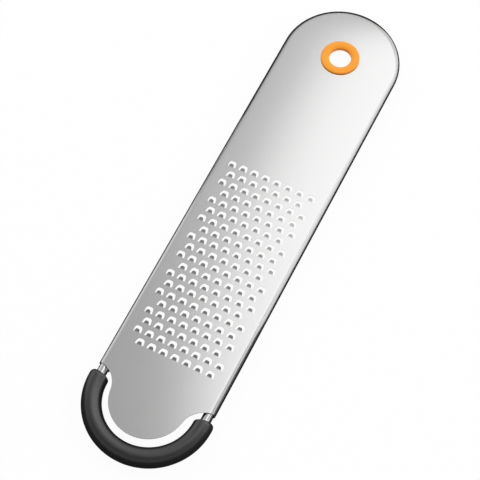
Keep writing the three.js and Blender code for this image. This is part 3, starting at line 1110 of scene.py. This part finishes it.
SCREENS = (
    # Far behind the head and to its left: the softer shade inside the rim there and behind the grip
    Screen("back_screen", round_feet(HEAD_Y, BACK_SCREEN_RADIUS, 80, 168), height=0.3, tone=0.4),
    # Close round the head: the dark line along its rim
    Screen(
        "head_screen",
        round_feet(HEAD_Y, SCREEN_RADIUS, 55, 180),
        height=19 * MM,
        tone=0.03,
        last_share=0.63,
    ),
    # Along the upper end of the left side: the fainter line there
    Screen("left_screen", side_feet(-SCREEN_RADIUS, 55 * MM, HEAD_Y), height=12 * MM, tone=0),
    # Close round the grip: its dark front
    Screen("grip_screen", round_feet(BEND_Y, SCREEN_RADIUS, 150, 360), height=16 * MM, tone=0.04),
    # Under the blade's round lower end: painted shade, a black screen that only the gloss shows, standing
    # in for the shade under the blade, which darkens the inner side of the grip
    Screen("tongue_screen", round_feet(BEND_Y, TONGUE_SHADE_SCREEN_RADIUS, 110, 410), height=9.5 * MM, tone=0),
    # Along the lower end of the right side: the wider dark line there
    Screen("right_screen", side_feet(SCREEN_RADIUS, -30 * MM, BEND_Y), height=13 * MM, tone=0.1),
)


def add_softbox(softbox):
    """A lamp of the softbox's size, with the power that gives it its radiance."""
    lamp = bpy.data.lights.new(softbox.name, "AREA")
    lamp.shape = "ELLIPSE"
    lamp.size = softbox.width
    lamp.size_y = softbox.height
    area = math.pi * softbox.width * softbox.height / 4
    lamp.energy = softbox.radiance * area * math.pi
    made = bpy.data.objects.new(softbox.name, lamp)
    made.location = softbox.centre
    made.rotation_mode = "QUATERNION"
    made.rotation_quaternion = (-Vector(softbox.centre)).to_track_quat("-Z", "Y")
    made.visible_camera = False
    made.visible_glossy = softbox.mirrored
    bpy.context.scene.collection.objects.link(made)


def smooth_change(tree, value, limits, low, high):
    """A level that goes smoothly from low to high while the value crosses the limits."""
    start, end = limits
    inputs = {"Value": value, "From Min": start, "From Max": end, "To Min": low, "To Max": high}
    return add_node(tree, "ShaderNodeMapRange", inputs, interpolation_type="SMOOTHSTEP").outputs[0]


def studio_world(studio):
    """Light that is palest round the horizon behind the head, and darkest above the grip."""
    world = bpy.data.worlds.new("studio")
    world.use_nodes = True
    tree = world.node_tree
    direction = add_node(tree, "ShaderNodeTexCoord").outputs["Generated"]
    part = add_node(tree, "ShaderNodeSeparateXYZ", {0: direction}).outputs
    horizon = smooth_change(tree, part["Y"], HORIZON_TURN, studio.horizon_front, studio.horizon_back)
    ceiling = smooth_change(tree, part["Y"], CEILING_TURN, studio.ceiling_front, studio.ceiling_back)
    level = smooth_change(tree, part["Z"], CEILING_RISE, horizon, ceiling)
    background = tree.nodes["Background"]
    background.inputs["Color"].default_value = (1, 1, 1, 1)
    tree.links.new(level, background.inputs["Strength"])
    return world


def add_card(name, polygons, tone):
    """A card or screen that only the object's gloss shows, so that its edges stand out."""
    material, _, shader = new_material(name)
    shader.inputs["Base Color"].default_value = (0, 0, 0, 1)
    shader.inputs["Specular IOR Level"].default_value = 0
    shader.inputs["Emission Color"].default_value = (1, 1, 1, 1)
    shader.inputs["Emission Strength"].default_value = tone
    card = polygon_object(name, polygons)
    card.data.materials.append(material)
    card.visible_camera = False
    card.visible_diffuse = False
    card.visible_shadow = False


def disc(x, y, radius):
    """Points round a circle on the floor."""
    turns = steps_between(0, 2 * math.pi, CIRCLE_SIDES)[:-1]
    return [Vector((x + radius * math.cos(a), y + radius * math.sin(a), CARD_Z)) for a in turns]


def screen_strips(screen):
    """Upright strips of a screen, side by side."""
    heights = []
    for step in range(len(screen.feet)):
        steps_left = len(screen.feet) - 1 - step
        rise = min(step / SCREEN_RISE, 1)
        fall = max(1 - steps_left / SCREEN_RISE, 0) * (1 - screen.last_share)
        heights.append(screen.height * rise * (1 - fall))
    tops = [foot + Vector((0, 0, height)) for foot, height in zip(screen.feet, heights)]
    corners = zip(screen.feet, screen.feet[1:], tops[1:], tops)
    return [list(strip) for strip in corners]


def floor_card():
    """Strips of a card round the blade, wider towards the head and open under the teeth."""
    points = disc(*LOWER_CIRCLE) + disc(*UPPER_CIRCLE)
    hull = [points[number] for number in convex_hull_2d([point.xy for point in points])]
    outer = []
    for here, there in zip(hull, hull[1:] + hull[:1]):
        parts = math.ceil((there - here).length / CARD_STEP)
        outer += [here.lerp(there, part / parts) for part in range(parts)]
    inner = []
    for point in outer:
        middle = Vector((0, min(max(point.y, CARD_START), HEAD_Y), CARD_Z))
        inner.append(middle + (point - middle).normalized() * CARD_OPENING)
    corners = zip(outer, outer[1:] + outer[:1], inner[1:] + inner[:1], inner)
    return [list(strip) for strip in corners]


def add_cards():
    """Dark cards round the blade and in front of the grip, and the screens."""
    add_card("floor_card", floor_card(), tone=0)
    add_card("grip_card", [disc(*GRIP_CARD_CIRCLE)], GRIP_CARD_TONE)
    for screen in SCREENS:
        add_card(screen.name, screen_strips(screen), screen.tone)


def photo_camera(studio):
    """The camera, which looks down on the blade from beyond the grip, a little from the right."""
    data = bpy.data.cameras.new("camera")
    data.lens = studio.lens
    data.clip_start = 0.01
    data.clip_end = 100
    camera = bpy.data.objects.new("camera", data)
    level = math.cos(studio.elevation)
    back = Vector(
        (
            math.sin(studio.azimuth) * level,
            -math.cos(studio.azimuth) * level,
            math.sin(studio.elevation),
        )
    )
    shape = SheetShape(bpy.context.scene.grater_blade, bpy.context.scene.grater_teeth)
    aim = Vector((studio.aim_x, studio.aim_y, shape.crown(0)))
    turned = (-back).to_track_quat("-Z", "Y").to_matrix() @ Matrix.Rotation(studio.roll, 3, "Z")
    camera.matrix_world = Matrix.Translation(aim + back * studio.distance) @ turned.to_4x4()
    bpy.context.scene.collection.objects.link(camera)
    bpy.context.scene.camera = camera


class GRATER_OT_stage(bpy.types.Operator):
    """Set the floor, the cards, the lamps and the camera"""

    bl_idname = "grater.stage"
    bl_label = "Stage"

    def execute(self, context):
        scene = context.scene
        studio = scene.grater_studio
        scene.view_settings.view_transform = "Standard"
        half = studio.floor_size / 2
        corners = [(-half, -half, 0), (half, -half, 0), (half, half, 0), (-half, half, 0)]
        floor = mesh_object("floor", corners, [(0, 1, 2, 3)])
        floor.data.materials.append(pale_floor())
        scene.world = studio_world(studio)
        add_cards()
        for softbox in SOFTBOXES:
            add_softbox(softbox)
        photo_camera(studio)
        return {"FINISHED"}


def list_settings(layout, settings):
    """Lists all the values of a group of settings."""
    for name in settings.__annotations__:
        layout.prop(settings, name)


class GRATER_PT_panel(bpy.types.Panel):
    """The grater's sizes and the buttons that build its pieces"""

    bl_idname = "GRATER_PT_panel"
    bl_label = "Fine Grater"
    bl_space_type = "VIEW_3D"
    bl_region_type = "UI"
    bl_category = "Grater"

    def draw(self, context):
        list_settings(self.layout.box(), context.scene.grater_finishes)
        for operator, holders in OPERATORS.items():
            box = self.layout.box()
            box.operator(operator.bl_idname)
            for holder in holders:
                list_settings(box, getattr(context.scene, holder))


SETTINGS = {
    "grater_blade": BladeSizes,
    "grater_teeth": ToothSizes,
    "grater_hoop": HoopSizes,
    "grater_grip": GripSizes,
    "grater_ring": RingSizes,
    "grater_finishes": Finishes,
    "grater_studio": Studio,
}
# Each operator, with the settings that it reads
OPERATORS = {
    GRATER_OT_blade: ("grater_blade", "grater_teeth"),
    GRATER_OT_hoop: ("grater_hoop",),
    GRATER_OT_grip: ("grater_grip",),
    GRATER_OT_ring: ("grater_ring",),
    GRATER_OT_stage: ("grater_studio",),
}
CLASSES = (*SETTINGS.values(), *OPERATORS, GRATER_PT_panel)


def register():
    for made in CLASSES:
        bpy.utils.register_class(made)
    for holder, settings in SETTINGS.items():
        setattr(bpy.types.Scene, holder, PointerProperty(type=settings))


def unregister():
    for holder in SETTINGS:
        delattr(bpy.types.Scene, holder)
    for made in reversed(CLASSES):
        bpy.utils.unregister_class(made)


def main():
    register()
    bpy.ops.grater.blade()
    bpy.ops.grater.hoop()
    bpy.ops.grater.grip()
    bpy.ops.grater.ring()
    bpy.ops.grater.stage()


if __name__ == "__main__":
    main()
